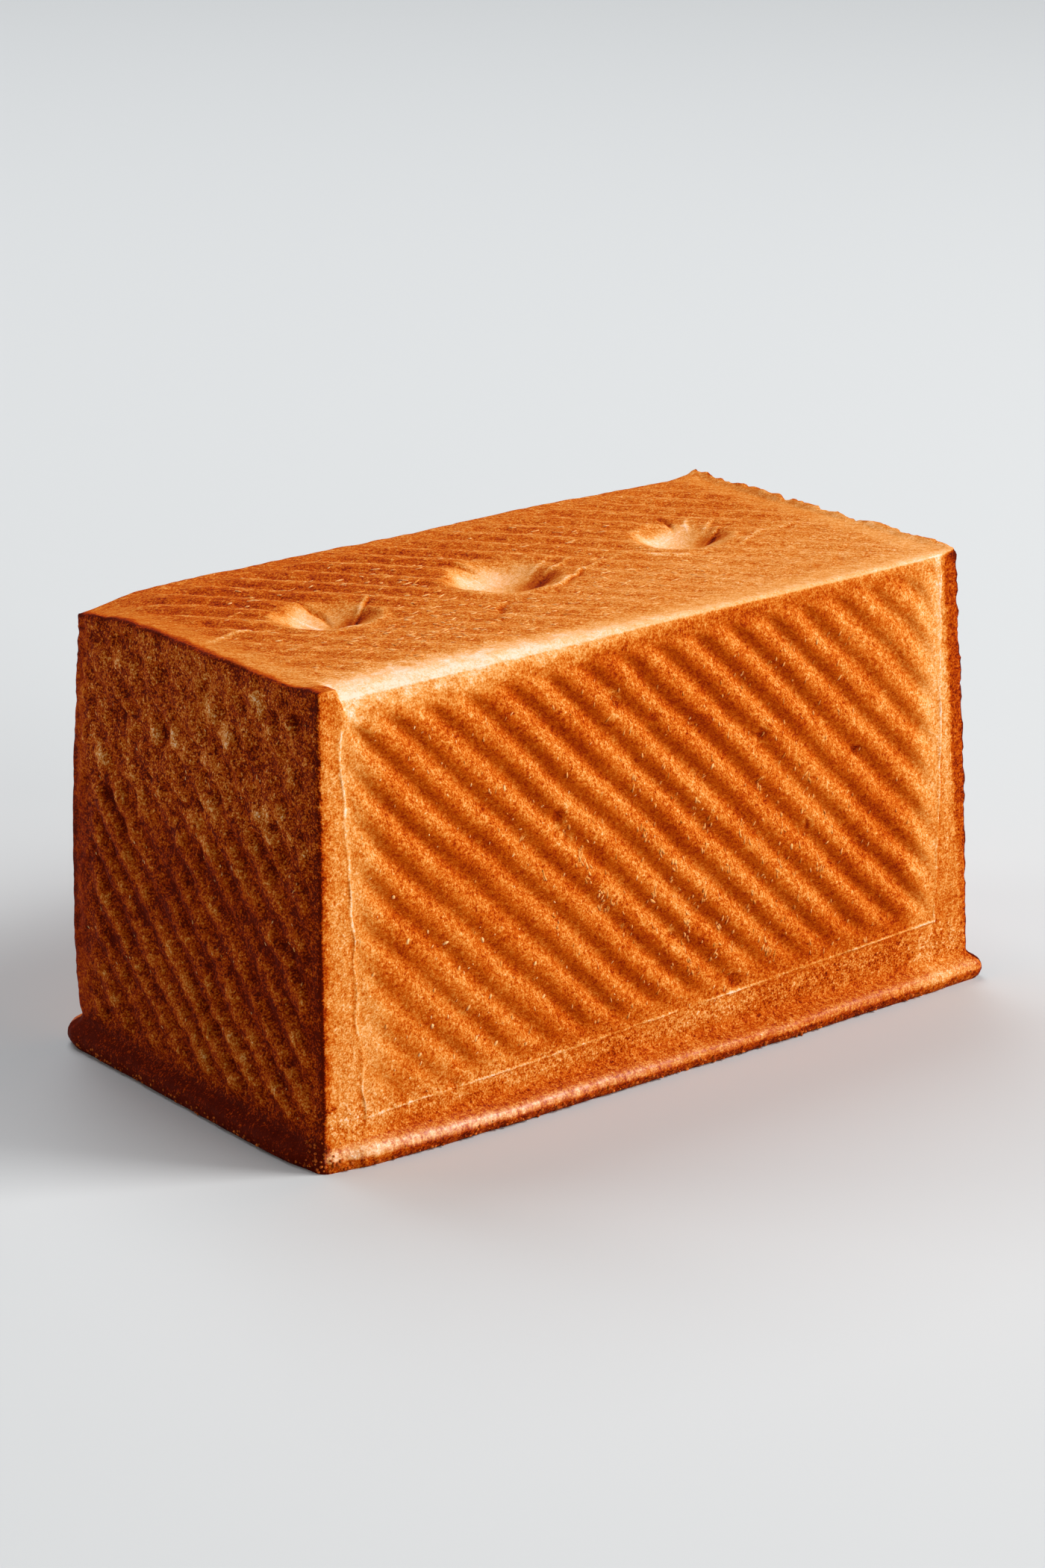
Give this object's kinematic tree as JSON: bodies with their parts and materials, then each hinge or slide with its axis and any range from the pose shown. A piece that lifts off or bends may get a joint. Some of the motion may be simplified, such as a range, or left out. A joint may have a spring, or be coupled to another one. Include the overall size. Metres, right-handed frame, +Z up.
{
  "type": "pullman loaf",
  "caption": "Uncut lidded-tin sandwich loaf lying upside down, square-cornered, with diagonal corrugation on every side, a browned crust and a squeezed-out rim at its foot.",
  "frame": {"origin": "middle of the flat side that the loaf lies on, which is the side that was under the tin's lid", "axes": "+Z up; +X along the loaf, away from the shaded short side in the picture; the long side with the clear ribs faces -Y"},
  "size_m": [0.2036, 0.1151, 0.1114],
  "materials": {
    "crust": "baked crust, dry and finely fibrous, golden brown with paler edges"
  },
  "bodies": {
    "root": {"loaf": "crust"}
  },
  "joints": []
}
